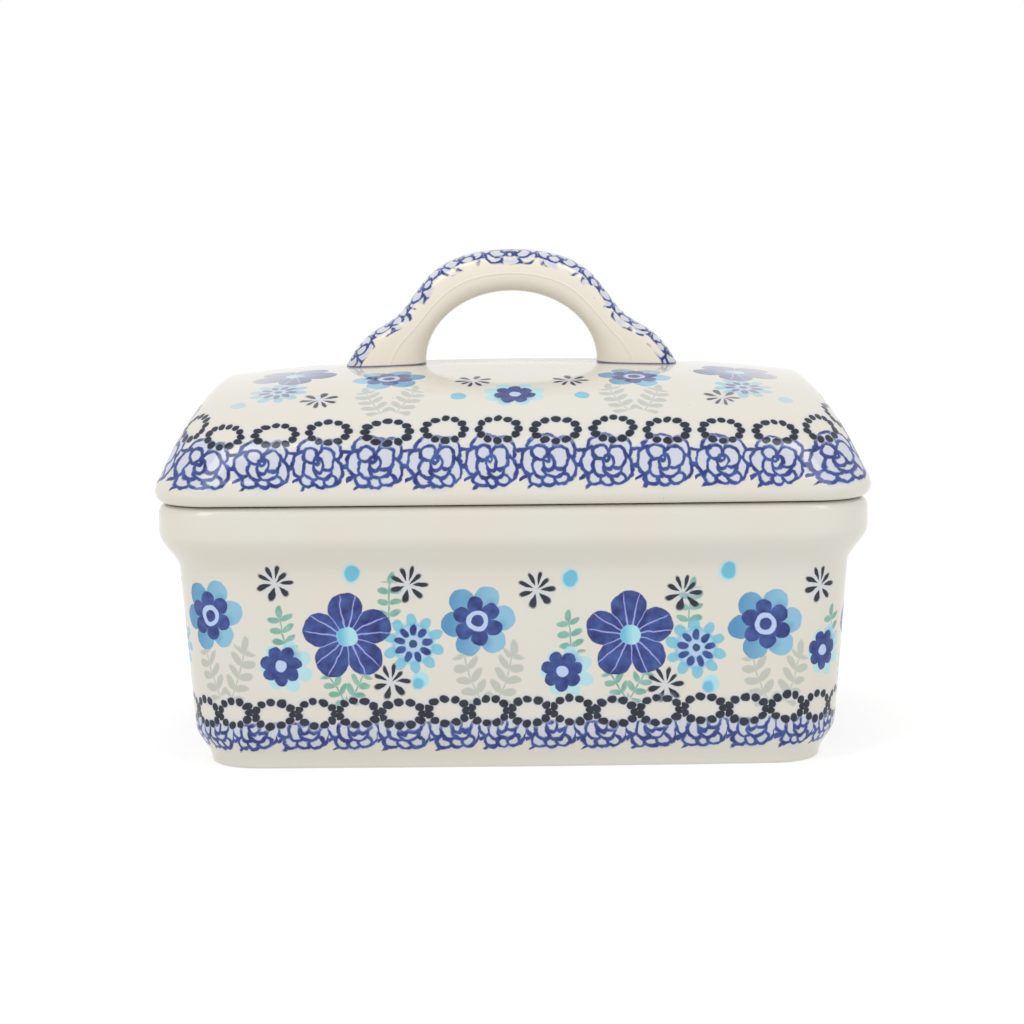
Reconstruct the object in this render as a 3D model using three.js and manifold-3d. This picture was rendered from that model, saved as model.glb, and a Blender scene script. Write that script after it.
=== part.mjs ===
// Stoneware butter dish: a deep box with a rim band, a domed lid with a locating flange under it,
// and an arched loop handle luted to the lid.
// Millimetres, +Z up. The origin is the middle of the footprint, on the surface the foot stands on.
// +X runs along the length and the front faces -Y.

import * as THREE from "three";
import { mergeVertices } from "three/addons/utils/BufferGeometryUtils.js";
import Module from "manifold-3d";

// ---- Driving dimensions ----

const LID_LENGTH = 175; // over the lip
const LID_WIDTH = 125; // over the lip at mid-length
const OVERALL_HEIGHT = 125.3; // to the top of the handle
const RIM_HEIGHT = 66; // top of the dish without its lid
const LID_TOP = 96.4; // crown of the lid, under the handle
const SIDE_BOW = 1.2; // each long side swells by this much at mid-length
const CORNER_RADIUS = 15; // plan radius of the lip and the rim band
const INNER_CORNER_RADIUS = 8; // plan radius inside the dish and inside the lid
const SEAM_GAP = 0.3; // between the rim and the lid that rests on it
const LUTE_GAP = 0.3; // between the lid and the handle's feet

const RIM_SETBACK = 0.7; // the rim band sits this far inside the lid's lip
const FOOT_INSET = 11.4; // outer edge of the foot's bearing face, in from the rim band
const FOOT_RING_WIDTH = 5.6;
const FOOT_RECESS = 1.3; // the underside inside the foot ring stands clear by this much
const FOOT_SIDE_INSET = 10.7;
const WALL_BOTTOM = { inset: 7.2, z: 10 };
const WALL_TOP = { inset: 4.5, z: 49 };
const BAND_BOTTOM_Z = 59;
const FLOOR_Z = 6.2; // inside face of the dish's floor
const CAVITY_TOP = { inset: 7.2, z: 64.3 };
const CAVITY_BOTTOM = { inset: 12.2, z: 11.2 };

const LID_SEAT_Z = RIM_HEIGHT + SEAM_GAP;
const LIP_WIDEST_Z = 69.2;
const LID_SIDE_SLOPE = 2.25; // rise over run of the lid's steep sides
const LID_SHOULDER_BLEND = 10; // size of the rounding between the sides and the dome
const LID_THICKNESS = 5.2;
const LID_INNER_SIDE = { inset: 10.8, z: 76 };
const FLANGE_BOTTOM_Z = 60.5;
const FLANGE_OUTER_INSET = 9.8;
const FLANGE_INNER_INSET = 13.2;

const HANDLE_DEPTH = 17; // along Y
const HANDLE_EDGE = 4; // how far the section's rounding reaches in from its outline
const HANDLE_EDGE_DEPTH = 6; // and how far it reaches along Y
const LOOP_HALF_SPAN = 22.1; // the finger opening is half of an ellipse
const LOOP_RISE = 18.2;
const LOOP_SPRING_Z = 96.3;
const HANDLE_ROOT_Z = 88; // the feet run down to here before they are trimmed to the lid

const CORNER_STEPS = 5;
const LONG_SIDE_STEPS = 8;
const SHORT_SIDE_STEPS = 6;
const EASE_STEPS = 6;
const OUTER_ARCH_STEPS = 40;
const LOOP_STEPS = 20;
const HANDLE_EDGE_STEPS = 3;

// ---- Plan outlines and lofts ----

// A rounded rectangle with bowed long sides, counter-clockwise seen from above.
function planOutline(halfLength, halfWidth, radius) {
  const r = Math.min(radius, halfWidth - 0.5);
  const corners = [
    { x: halfLength - r, y: halfWidth - r, start: 0 },
    { x: -(halfLength - r), y: halfWidth - r, start: 90 },
    { x: -(halfLength - r), y: -(halfWidth - r), start: 180 },
    { x: halfLength - r, y: -(halfWidth - r), start: 270 },
  ];
  const outline = [];
  corners.forEach((corner, index) => {
    for (let i = 0; i <= CORNER_STEPS; i++) {
      const angle = THREE.MathUtils.degToRad(corner.start + (90 * i) / CORNER_STEPS);
      outline.push(new THREE.Vector2(corner.x + r * Math.cos(angle), corner.y + r * Math.sin(angle)));
    }
    const next = corners[(index + 1) % corners.length];
    const startAngle = THREE.MathUtils.degToRad(next.start);
    const from = outline[outline.length - 1];
    const to = new THREE.Vector2(next.x + r * Math.cos(startAngle), next.y + r * Math.sin(startAngle));
    const steps = index % 2 === 0 ? LONG_SIDE_STEPS : SHORT_SIDE_STEPS;
    for (let i = 1; i < steps; i++) outline.push(from.clone().lerp(to, i / steps));
  });
  return outline.map(({ x, y }) => {
    const swell = 1 + (SIDE_BOW * (1 - (x / halfLength) ** 2)) / halfWidth;
    return new THREE.Vector2(x, y * swell);
  });
}

// One ring of a loft: a plan outline set in from the lid's lip, at a height that may vary with x and y.
function ring(inset, height, radius) {
  const halfLength = LID_LENGTH / 2 - inset;
  const halfWidth = LID_WIDTH / 2 - SIDE_BOW - inset;
  return planOutline(halfLength, halfWidth, radius).map(({ x, y }) => {
    const z = typeof height === "function" ? height(x, y) : height;
    return new THREE.Vector3(x, y, z);
  });
}

// A closed skin through the rings, capped at both ends by a fan to the ring's middle. The rings run
// from underneath, outwards, up and over, so that every face looks out of the material.
function closedLoft(rings, startHeight, endHeight) {
  const count = rings[0].length;
  const points = rings.flat();
  const start = points.push(new THREE.Vector3(0, 0, startHeight)) - 1;
  const end = points.push(new THREE.Vector3(0, 0, endHeight)) - 1;
  const lastRing = (rings.length - 1) * count;
  const index = [];
  for (let j = 0; j < count; j++) {
    const next = (j + 1) % count;
    index.push(start, next, j);
    index.push(end, lastRing + j, lastRing + next);
    for (let k = 0; k < rings.length - 1; k++) {
      const low = k * count;
      const high = low + count;
      index.push(low + j, low + next, high + next);
      index.push(low + j, high + next, high + j);
    }
  }
  const geometry = new THREE.BufferGeometry().setFromPoints(points);
  geometry.setIndex(index);
  return geometry;
}

// Points of an S-shaped change of inset between two heights, ends included.
function easedProfile(from, to) {
  const points = [];
  for (let i = 0; i <= EASE_STEPS; i++) {
    const t = i / EASE_STEPS;
    const inset = THREE.MathUtils.lerp(from.inset, to.inset, THREE.MathUtils.smoothstep(t, 0, 1));
    points.push([inset, THREE.MathUtils.lerp(from.z, to.z, t)]);
  }
  return points;
}

// The lower of two heights, rounded where they cross.
function roundedMinimum(a, b, blend) {
  const overlap = Math.max(blend - Math.abs(a - b), 0) / blend;
  return Math.min(a, b) - (overlap * overlap * blend) / 4;
}

// ---- Dish ----

function makeDish() {
  const filletRadius = CAVITY_BOTTOM.z - FLOOR_Z;
  const outside = [
    [FOOT_INSET + FOOT_RING_WIDTH + 1.2, FOOT_RECESS],
    [FOOT_INSET + FOOT_RING_WIDTH, 0],
    [FOOT_INSET, 0],
    ...easedProfile({ inset: FOOT_SIDE_INSET, z: 0.8 }, WALL_BOTTOM),
    ...easedProfile(WALL_TOP, { inset: 0, z: BAND_BOTTOM_Z }),
    [0, RIM_HEIGHT - 2.5],
    [0.5, RIM_HEIGHT - 0.6],
    [1.6, RIM_HEIGHT],
  ];
  const inside = [
    [5.6, RIM_HEIGHT],
    [6.8, RIM_HEIGHT - 0.5],
    [CAVITY_TOP.inset, CAVITY_TOP.z],
  ];
  for (let i = 0; i <= 4; i++) {
    const angle = (Math.PI / 2) * (i / 4);
    const inset = CAVITY_BOTTOM.inset + filletRadius * (1 - Math.cos(angle));
    inside.push([inset, CAVITY_BOTTOM.z - filletRadius * Math.sin(angle)]);
  }
  const rings = [
    ...outside.map(([inset, z]) => ring(RIM_SETBACK + inset, z, CORNER_RADIUS - 0.25 * inset)),
    ...inside.map(([inset, z]) => ring(RIM_SETBACK + inset, z, INNER_CORNER_RADIUS)),
  ];
  return closedLoft(rings, FOOT_RECESS, FLOOR_Z);
}

// ---- Lid ----

// Height of the lid's crowned top over the plan.
function domeHeight(x, y) {
  return LID_TOP - 0.00045 * x ** 2 - 3.3e-8 * x ** 4 - 0.0022 * y ** 2 - 4.8e-7 * y ** 4;
}

// The rings of the lid's outer skin above the lip, raised by a clearance where a cutter needs one.
function lidOuterRings(raise) {
  const insets = [0.3, 2.4, 4.2, 5.8, 7.2, 8.6, 10.2, 12.2, 15, 19, 25, 33, 42, 50];
  return insets.map((inset) => {
    const side = LIP_WIDEST_Z + 1 + (inset - 0.3) * LID_SIDE_SLOPE;
    const height = (x, y) => roundedMinimum(side, domeHeight(x, y), LID_SHOULDER_BLEND) + raise;
    return ring(inset, height, CORNER_RADIUS);
  });
}

function lidCeilingRings() {
  const insets = [50, 38, 29, 23, 19, 16.5, 14.5, 12.6];
  return insets.map((inset) => {
    const side = LID_INNER_SIDE.z + (inset - LID_INNER_SIDE.inset) * LID_SIDE_SLOPE;
    const height = (x, y) => {
      return roundedMinimum(side, domeHeight(x, y) - LID_THICKNESS, LID_SHOULDER_BLEND);
    };
    return ring(inset, height, INNER_CORNER_RADIUS);
  });
}

function makeLidShell() {
  const flange = [
    [LID_INNER_SIDE.inset, LID_INNER_SIDE.z - 2],
    [12.6, 68],
    [FLANGE_INNER_INSET, FLANGE_BOTTOM_Z + 1],
    [FLANGE_INNER_INSET - 0.7, FLANGE_BOTTOM_Z],
    [FLANGE_OUTER_INSET + 0.7, FLANGE_BOTTOM_Z],
    [FLANGE_OUTER_INSET, FLANGE_BOTTOM_Z + 1],
    [FLANGE_OUTER_INSET, LID_SEAT_Z - 0.8],
    [FLANGE_OUTER_INSET - 0.8, LID_SEAT_Z],
  ];
  const lip = [
    [1.9, LID_SEAT_Z],
    [0.8, LID_SEAT_Z + 0.8],
    [0.2, LID_SEAT_Z + 1.9],
    [0, LIP_WIDEST_Z],
  ];
  const rings = [
    ...lidCeilingRings(),
    ...flange.map(([inset, z]) => ring(inset, z, INNER_CORNER_RADIUS)),
    ...lip.map(([inset, z]) => ring(inset, z, CORNER_RADIUS)),
    ...lidOuterRings(0),
  ];
  return closedLoft(rings, domeHeight(0, 0) - LID_THICKNESS, domeHeight(0, 0));
}

// ---- Handle ----

const wasm = await Module();
wasm.setup();

function solidFromGeometry(geometry) {
  const bare = new THREE.BufferGeometry().setAttribute("position", geometry.getAttribute("position"));
  bare.setIndex(geometry.index);
  const merged = mergeVertices(bare, 1e-4);
  const vertProperties = merged.attributes.position.array;
  const triVerts = new Uint32Array(merged.index.array);
  return new wasm.Manifold(new wasm.Mesh({ numProp: 3, vertProperties, triVerts }));
}

function geometryFromSolid(solid) {
  const mesh = solid.getMesh();
  const geometry = new THREE.BufferGeometry();
  geometry.setAttribute("position", new THREE.BufferAttribute(mesh.vertProperties, 3));
  geometry.setIndex(new THREE.BufferAttribute(mesh.triVerts, 1));
  return geometry;
}

function makeHandle() {
  // Half of the arch's outer outline, from the foot's tip up to beside the top: x and height.
  const shoulder = [
    [42.8, 95.8],
    [40.3, 99.9],
    [36.4, 103.9],
    [31.8, 106.7],
    [28.1, 109.8],
    [24.6, 114.4],
    [20.8, 119.0],
    [15.5, 122.5],
    [8.5, 124.6],
  ];
  const rightHalf = shoulder.map(([x, z]) => new THREE.Vector2(x, z));
  const leftHalf = shoulder.map(([x, z]) => new THREE.Vector2(-x, z)).reverse();
  const top = new THREE.Vector2(0, OVERALL_HEIGHT);
  const outer = new THREE.SplineCurve([...rightHalf, top, ...leftHalf]);
  const loop = new THREE.EllipseCurve(0, LOOP_SPRING_Z, LOOP_HALF_SPAN, LOOP_RISE, Math.PI, 0, true);
  const arch = new THREE.Shape([
    new THREE.Vector2(LOOP_HALF_SPAN, HANDLE_ROOT_Z),
    new THREE.Vector2(shoulder[0][0], HANDLE_ROOT_Z),
    ...outer.getPoints(OUTER_ARCH_STEPS),
    new THREE.Vector2(-shoulder[0][0], HANDLE_ROOT_Z),
    new THREE.Vector2(-LOOP_HALF_SPAN, HANDLE_ROOT_Z),
    ...loop.getPoints(LOOP_STEPS),
  ]);

  const extruded = new THREE.ExtrudeGeometry(arch, {
    depth: HANDLE_DEPTH - 2 * HANDLE_EDGE_DEPTH,
    bevelThickness: HANDLE_EDGE_DEPTH,
    bevelSize: HANDLE_EDGE,
    bevelOffset: -HANDLE_EDGE,
    bevelSegments: HANDLE_EDGE_STEPS,
  });
  extruded.translate(0, 0, HANDLE_EDGE_DEPTH - HANDLE_DEPTH / 2);
  extruded.rotateX(Math.PI / 2);

  const lidBlank = [ring(0, LIP_WIDEST_Z, CORNER_RADIUS), ...lidOuterRings(LUTE_GAP)];
  const cutter = closedLoft(lidBlank, LIP_WIDEST_Z, domeHeight(0, 0) + LUTE_GAP);
  return geometryFromSolid(solidFromGeometry(extruded).subtract(solidFromGeometry(cutter)));
}

// ---- Assembly ----

function glazedMesh(name, geometry, color, roughness) {
  const material = new THREE.MeshStandardMaterial({ color, roughness, metalness: 0 });
  const mesh = new THREE.Mesh(geometry, material);
  mesh.name = name;
  return mesh;
}

const butterDish = new THREE.Group();
butterDish.add(glazedMesh("dish", makeDish(), 0xe2dbcc, 0.15));

const lid = new THREE.Group();
lid.add(glazedMesh("lid_shell", makeLidShell(), 0xe4decf, 0.14));
lid.add(glazedMesh("lid_handle", makeHandle(), 0xe2dbc9, 0.14));
butterDish.add(lid);

export default butterDish;
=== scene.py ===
"""Stoneware butter dish with stamped folk flowers: its glazed skins, its painting and a plain studio.

Shapes and paintings are worked out in millimetres and turned into metres when a mesh is made.
The painting is a tree of shader nodes, which the Field helpers below build from plain arithmetic.
"""

import math

import bpy
from mathutils import Matrix, Vector


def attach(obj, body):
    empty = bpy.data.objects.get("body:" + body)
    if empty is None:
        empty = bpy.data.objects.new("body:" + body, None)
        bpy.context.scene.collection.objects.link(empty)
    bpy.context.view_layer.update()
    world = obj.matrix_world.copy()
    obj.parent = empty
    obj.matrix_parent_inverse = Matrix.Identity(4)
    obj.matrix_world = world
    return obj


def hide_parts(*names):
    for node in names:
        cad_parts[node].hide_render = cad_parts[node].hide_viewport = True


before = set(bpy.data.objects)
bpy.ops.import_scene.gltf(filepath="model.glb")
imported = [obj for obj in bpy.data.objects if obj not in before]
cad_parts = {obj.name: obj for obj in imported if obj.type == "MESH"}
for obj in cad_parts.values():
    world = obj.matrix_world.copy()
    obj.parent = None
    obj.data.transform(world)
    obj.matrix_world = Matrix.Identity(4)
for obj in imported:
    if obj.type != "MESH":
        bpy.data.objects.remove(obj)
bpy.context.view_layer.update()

MM = 0.001

# ---- Driving dimensions, in millimetres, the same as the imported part's ----

LID_LENGTH = 175.0
LID_WIDTH = 125.0
SIDE_BOW = 1.2  # each long side swells by this much at mid-length
CORNER_RADIUS = 15.0
INNER_CORNER_RADIUS = 8.0
RIM_SETBACK = 0.7
RIM_HEIGHT = 66.0
FOOT_INSET = 11.4
FOOT_RING_WIDTH = 5.6
FOOT_RECESS = 1.3
WALL_BOTTOM = (7.2, 10.0)  # inset and height
WALL_TOP = (4.5, 49.0)
BAND_BOTTOM = (0.0, 59.0)
CAVITY_TOP = (7.2, 64.3)
CAVITY_BOTTOM = (12.2, 11.2)
FLOOR_Z = 6.2
LID_TOP = 96.4
DOME_X2, DOME_X4 = 0.00045, 3.3e-8  # the crown falls by these times the powers of x and of y
DOME_Y2, DOME_Y4 = 0.0022, 4.8e-7
LID_SEAT_Z = 66.3
LIP_WIDEST_Z = 69.2
LID_SIDE_SLOPE = 2.25
LID_SHOULDER_BLEND = 10.0
LIP_CURVE_INSET = 1.4  # the lid's side leaves its lip in a short upright curve, up to this inset
LID_THICKNESS = 5.2
HOLLOW_INSET = 10.8  # edge of the hollow inside the lid, and its height there
HOLLOW_EDGE_Z = 76.0
FLANGE_BOTTOM_Z = 60.5
FLANGE_OUTER_INSET = 9.8
FLANGE_INNER_INSET = 13.2
HANDLE_DEPTH = 17.0
HANDLE_TOP = 125.3
LOOP_HALF_SPAN = 22.1
LOOP_RISE = 18.2
LOOP_SPRING_Z = 96.3
HANDLE_ROOT_Z = 93.6  # the visible handle's feet end here, inside the lid's wall
MIDDLE_INSET = 55.0  # of a loft's innermost rings, which a fan of triangles closes

# ---- The painted bands ----

FLOWER_PERIOD = 67.3  # the dish's flower garland repeats at this distance
DISH_QUARTER = 2 * FLOWER_PERIOD  # painted length from a long side's middle to a short side's
DISH_ROSE_PITCH = DISH_QUARTER * 4 / 44
DISH_LINK_PITCH = DISH_QUARTER * 4 / 51  # of the bead chain
DISH_ROSES_TOP = 12.4  # the dish's roses are cut off here, under its chain
ROSE_PITCH = 13.8
LID_QUARTER = 9.5 * ROSE_PITCH
LID_LINK_PITCH = LID_QUARTER * 4 / 39
UNPAINTED = -100.0  # a height on the band that no stamp reaches
HANDLE_ROSE_PITCH = 12.6
FOOT_LINE = 0.3  # height above the crown of the dark line's top edge, round the handle's feet
SPECK_CELL = 9.0  # size of the cells that may hold one iron speck each
GLARE_FADE_FROM, GLARE_FADE_TO = 46, 82  # painted reflection: over this stretch of x the crown's flowers are painted fainter, standing in for the wash of a grazing reflection
# the least share of the crown's flowers left under the painted reflection
GLARE_FAINTEST = 0.35
SOFT = 0.22  # width of the soft edge of a stamped mark


def srgb(red, green, blue):
    """A colour given as 0 to 255 display values, as the linear values that shaders take."""
    def linear(value):
        value /= 255
        return value / 12.92 if value <= 0.04045 else ((value + 0.055) / 1.055) ** 2.4
    return (linear(red), linear(green), linear(blue), 1.0)


CREAM = srgb(204, 199, 187)
CREAM_COOL = srgb(203, 200, 191)
# painted light: the same cream glaze as the dish's, painted lighter on the handle to offset the handle's
# shade
LIGHTENED_HANDLE_CREAM = srgb(220, 213, 199)
COBALT_DARK = srgb(22, 32, 98)
COBALT_LIGHT = srgb(56, 80, 144)
NAVY = srgb(14, 16, 30)
CHARCOAL_BLUE = srgb(34, 42, 58)
SKY = srgb(126, 172, 196)
SKY_DEEP = srgb(74, 132, 172)
CYAN = srgb(98, 172, 196)
CYAN_PALE = srgb(156, 202, 212)
GREEN = srgb(136, 174, 160)
GREEN_DEEP = srgb(98, 148, 134)
GREY_GREEN = srgb(174, 177, 167)
PALE_BLUE = srgb(170, 186, 218)
LAVENDER = srgb(170, 181, 204)
PETAL_LINE = srgb(150, 156, 216)
TEAL = srgb(30, 72, 100)
CLAY = srgb(206, 188, 160)
CLAY_DARK = srgb(176, 156, 128)
IRON = srgb(110, 82, 56)


# ---- Fields: arithmetic that becomes shader nodes ----

class Field:
    """A number, vector or colour that varies over a surface: one output socket of a node tree."""

    def __init__(self, socket):
        self.socket = socket
        self.tree = socket.id_data

    def __add__(self, other):
        return calculate("ADD", self, other)

    def __sub__(self, other):
        return calculate("SUBTRACT", self, other)

    def __mul__(self, other):
        return calculate("MULTIPLY", self, other)

    def at_least(self, other):
        return calculate("MAXIMUM", self, other)

    def at_most(self, other):
        return calculate("MINIMUM", self, other)

    def size(self):
        return calculate("ABSOLUTE", self)


def make_node(kind, operands, **settings):
    """A node of the given kind, its settings made and its inputs fed, in order, from the operands."""
    tree = next(operand.tree for operand in operands if isinstance(operand, Field))
    node = tree.nodes.new(kind)
    for name, value in settings.items():
        setattr(node, name, value)
    for socket, operand in zip(node.inputs, operands):
        if isinstance(operand, Field):
            tree.links.new(operand.socket, socket)
        elif operand is not None:
            socket.default_value = operand
    return node


def calculate(operation, *operands, clamp=False):
    node = make_node("ShaderNodeMath", operands, operation=operation, use_clamp=clamp)
    return Field(node.outputs[0])


def vector(operation, *operands):
    """Vector arithmetic with a vector result."""
    return Field(make_node("ShaderNodeVectorMath", operands, operation=operation).outputs["Vector"])


def measure(operation, *operands):
    """Vector arithmetic with a number as its result."""
    return Field(make_node("ShaderNodeVectorMath", operands, operation=operation).outputs["Value"])


def split(point):
    node = make_node("ShaderNodeSeparateXYZ", [point])
    return Field(node.outputs[0]), Field(node.outputs[1])


def join(x, y):
    return Field(make_node("ShaderNodeCombineXYZ", [x, y]).outputs[0])


def rotate(point, angle, back=False):
    """The point turned about the local origin; back turns it the other way."""
    node = make_node("ShaderNodeVectorRotate", [point], rotation_type="Z_AXIS", invert=back)
    if isinstance(angle, Field):
        node.id_data.links.new(angle.socket, node.inputs["Angle"])
    else:
        node.inputs["Angle"].default_value = angle
    return Field(node.outputs[0])


def ramp(value, low, high):
    """0 below low and 1 above high, or the other way round when low is the greater."""
    scale = 1 / (high - low)
    return calculate("MULTIPLY_ADD", value, scale, -low * scale, clamp=True)


def inside(distance, soft=SOFT):
    """Cover of a shape from the signed distance to its edge, which is negative within it."""
    return calculate("MULTIPLY_ADD", distance, -1 / soft, 0.5, clamp=True)


def disc(point, centre, radius, soft=SOFT):
    return ramp(measure("DISTANCE", point, (*centre, 0)), radius + soft / 2, radius - soft / 2)


def oval(point, centre, semi, soft=SOFT):
    """Cover of an ellipse with its axes along the local x and y."""
    scaled = vector("MULTIPLY_ADD", point, (1 / semi[0], 1 / semi[1], 0),
                    (-centre[0] / semi[0], -centre[1] / semi[1], 0))
    half_edge = soft / min(semi) / 2
    return ramp(measure("LENGTH", scaled), 1 + half_edge, 1 - half_edge)


def either(*covers):
    result = covers[0]
    for cover in covers[1:]:
        result = result.at_least(cover)
    return result


def fold(point, count, phase=0.0):
    """The point turned into the nearest of count equal sectors, so that each one's axis is local +x."""
    x, y = split(point)
    step = 2 * math.pi / count
    angle = calculate("ARCTAN2", y, x)
    sector = calculate("SNAP", angle + (step / 2 - phase), step)
    return rotate(point, sector + phase, back=True)


def paint(base, pigment, cover):
    """The base colour with a pigment laid over it where the cover is 1."""
    node = make_node("ShaderNodeMix", [cover], data_type="RGBA")
    for index, value in ((6, base), (7, pigment)):
        if isinstance(value, Field):
            node.id_data.links.new(value.socket, node.inputs[index])
        else:
            node.inputs[index].default_value = value
    return Field(node.outputs[2])


def noise(point, size, detail=2.0):
    """Smooth noise, about 0.5, with blobs of the given size in millimetres; also as a colour."""
    node = make_node("ShaderNodeTexNoise", [point])
    node.inputs["Scale"].default_value = 1 / size
    node.inputs["Detail"].default_value = detail
    return Field(node.outputs["Fac"]), Field(node.outputs["Color"])


def attribute(tree, name):
    node = tree.nodes.new("ShaderNodeAttribute")
    node.attribute_name = name
    return Field(node.outputs["Vector"])


# ---- Stamps: each paints one motif over a colour, centred on the local origin ----

class Pigments:
    """The pigments of one material, each with the uneven density of hand stamping."""

    def __init__(self, place):
        self.mottle = ramp(noise(place, 2.6, 1.0)[0], 0.25, 0.75)
        broad = noise(place, 26.0, 0.0)[1]
        self.wander = vector("MULTIPLY_ADD", broad, (3.4, 0.8, 0), (-1.7, -0.4, 0))
        self.tremble = vector("MULTIPLY_ADD", noise(place, 1.7, 1.0)[1], (0.9, 0.9, 0), (-0.45, -0.45, 0))
        self.cobalt = paint(COBALT_DARK, COBALT_LIGHT, self.mottle)
        self.navy = paint(NAVY, CHARCOAL_BLUE, self.mottle)
        self.sky = paint(SKY_DEEP, SKY, self.mottle)
        self.green = paint(GREEN_DEEP, GREEN, self.mottle)


def stamp_two_tone(colour, p, ink):
    """Six round sky-blue petals behind a cobalt flower with a pale ring."""
    outer = fold(p, 6, 0.12)
    left, _ = split(p)
    shade = paint(SKY, SKY_DEEP, ramp(left, 4.0, -7.0))
    colour = paint(colour, shade, either(disc(outer, (6.1, 0), 3.1), disc(p, (0, 0), 5.6)))
    colour = paint(colour, SKY_DEEP, disc(outer, (5.3, -1.6), 1.0, 2.2) * 0.6)
    inner = fold(p, 6, 0.12 + math.pi / 6)
    colour = paint(colour, ink.cobalt, either(disc(inner, (4.1, 0), 2.05), disc(p, (0, 0), 3.6)))
    colour = paint(colour, PALE_BLUE, disc(p, (0, 0), 2.7))
    return paint(colour, ink.cobalt, disc(p, (0, 0), 1.55))


def stamp_big(colour, p, ink):
    """Five broad cobalt petals with pale veins and a cyan eye."""
    petal = fold(p, 5, math.radians(93))
    whole = either(oval(petal, (6.9, 0), (4.1, 4.3)), disc(p, (0, 0), 5.2))
    colour = paint(colour, ink.cobalt, whole)
    x, y = split(petal)
    curved = calculate("MULTIPLY_ADD", x * x, 0.008, y)
    vein = calculate("MULTIPLY_ADD", x, -0.2, curved.size()).size()
    border = calculate("MULTIPLY_ADD", x, -0.727, y.size()).size()
    thin = calculate("MULTIPLY_ADD", x, -0.012, 0.23)
    strokes = inside(vein.at_most(border + 0.05) - thin, 0.2) * ramp(x, 10.9, 9.6)
    colour = paint(colour, PETAL_LINE, strokes * whole * 0.9)
    left, _ = split(p)
    colour = paint(colour, CYAN_PALE, disc(p, (0, 0), 2.5))
    return paint(colour, CYAN, disc(p, (0, 0), 2.5) * ramp(left, 0.7, -1.4))


def stamp_radial(colour, p, ink):
    """Nine cobalt drops in a ring of ten cyan petals."""
    rim = fold(p, 10, 0.38)
    colour = paint(colour, CYAN, oval(rim, (5.9, 0), (1.6, 1.3)) * 0.85)
    colour = paint(colour, CYAN, disc(p, (0, 0), 5.2, 0.8) * 0.8)
    spoke = fold(p, 9, 0.14)
    _, beside = split(spoke)
    between = ramp(beside.size(), 0.75, 1.0) * disc(p, (0, 0), 4.4, 0.8)
    colour = paint(colour, PALE_BLUE, either(between, disc(p, (0, 0), 2.0, 0.6)) * 0.8)
    colour = paint(colour, ink.cobalt, oval(spoke, (3.4, 0), (1.4, 0.86)))
    return paint(colour, TEAL, disc(p, (0, 0), 0.95))


def stamp_small(colour, p, ink):
    """Seven small cobalt petals over a sky-blue shadow flower."""
    shifted = vector("SUBTRACT", p, (1.3, -0.2, 0))
    shadow = fold(shifted, 7, 0.5)
    behind = either(disc(shadow, (4.7, 0), 1.8), disc(shifted, (0, 0), 4.6))
    colour = paint(colour, CYAN_PALE, behind * 0.85)
    colour = paint(colour, ink.sky, disc(shifted, (0.9, 2.6), 2.2, 2.0) * 0.7)
    petal = fold(p, 7, 0.2)
    colour = paint(colour, ink.cobalt, either(disc(petal, (3.45, 0), 1.65), disc(p, (0, 0), 3.0)))
    return paint(colour, PALE_BLUE, disc(p, (0, 0), 1.4))


def stamp_star(colour, p, ink):
    """Eight dark drops, unevenly spread, one of them short, with a faint halo."""
    heading = vector("NORMALIZE", p)
    turn = calculate("MULTIPLY_ADD", measure("DOT_PRODUCT", heading, (-0.996, 0.092, 0)), 0.27, 0.22)
    spoke = fold(rotate(p, turn), 8)
    x, y = split(spoke)
    short = ramp(measure("DOT_PRODUCT", heading, (0.81, 0.59, 0)), 0.9, 0.97)
    x = calculate("MULTIPLY_ADD", short, 0.75, x)
    narrowed = join(x, calculate("DIVIDE", y, x.at_least(0.4)) * 3.3)
    colour = paint(colour, LAVENDER, disc(p, (0, 0), 3.6, 3.0) * 0.35)
    return paint(colour, ink.navy, oval(narrowed, (2.85, 0), (1.75, 0.66)))


def stamp_sprig(colour, p, pigment, length, leaf, spacing, bend, tilt=32):
    """A curved stem with pairs of leaves and one leaf at its tip, rising from the local origin."""
    x, y = split(p)
    x = calculate("MULTIPLY_ADD", y * y, -bend, x)
    beside = x.size()
    along = calculate("WRAP", y, spacing / 2, -spacing / 2)
    blade = rotate(join(beside, along + spacing * 0.3), math.radians(tilt), back=True)
    leaves = oval(blade, (leaf[0] * 1.04, 0), leaf)
    stem = inside(beside - 0.2)
    extent = ramp(y, -0.4, 0.2) * ramp(y, length + 0.3, length - 0.3)
    tip = oval(join(x, y - (length + leaf[0] * 0.55)), (0, 0), (leaf[1], leaf[0]))
    return paint(colour, pigment, either(either(leaves, stem) * extent, tip))


def stamp_chain(colour, band, ink, pitch, centre, path, beads, bead_radius):
    """A row of ovals strung from dark beads; path is the semi-axes of the beads' middle line."""
    x, y = split(vector("SUBTRACT", band, (*centre, 0)))
    number = calculate("ROUND", x * (1 / pitch))
    shift = calculate("SINE", number * 2.4) * 0.25
    local = join(calculate("WRAP", x, pitch / 2, -pitch / 2), y + shift)
    across, up = split(vector("MULTIPLY", local, (1 / path[0], 1 / path[1], 0)))
    step = 2 * math.pi / beads
    angle = calculate("SNAP", calculate("ARCTAN2", up, across) + step / 2, step)
    bead = join(calculate("COSINE", angle) * path[0], calculate("SINE", angle) * path[1])
    away = vector("MULTIPLY", vector("SUBTRACT", local, bead), (0.93, 1.07, 0))
    distance = measure("LENGTH", away)
    colour = paint(colour, LAVENDER, ramp(distance, bead_radius + 0.9, bead_radius - 0.1) * 0.45)
    return paint(colour, ink.navy, ramp(distance, bead_radius + 0.13, bead_radius - 0.13))


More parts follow.
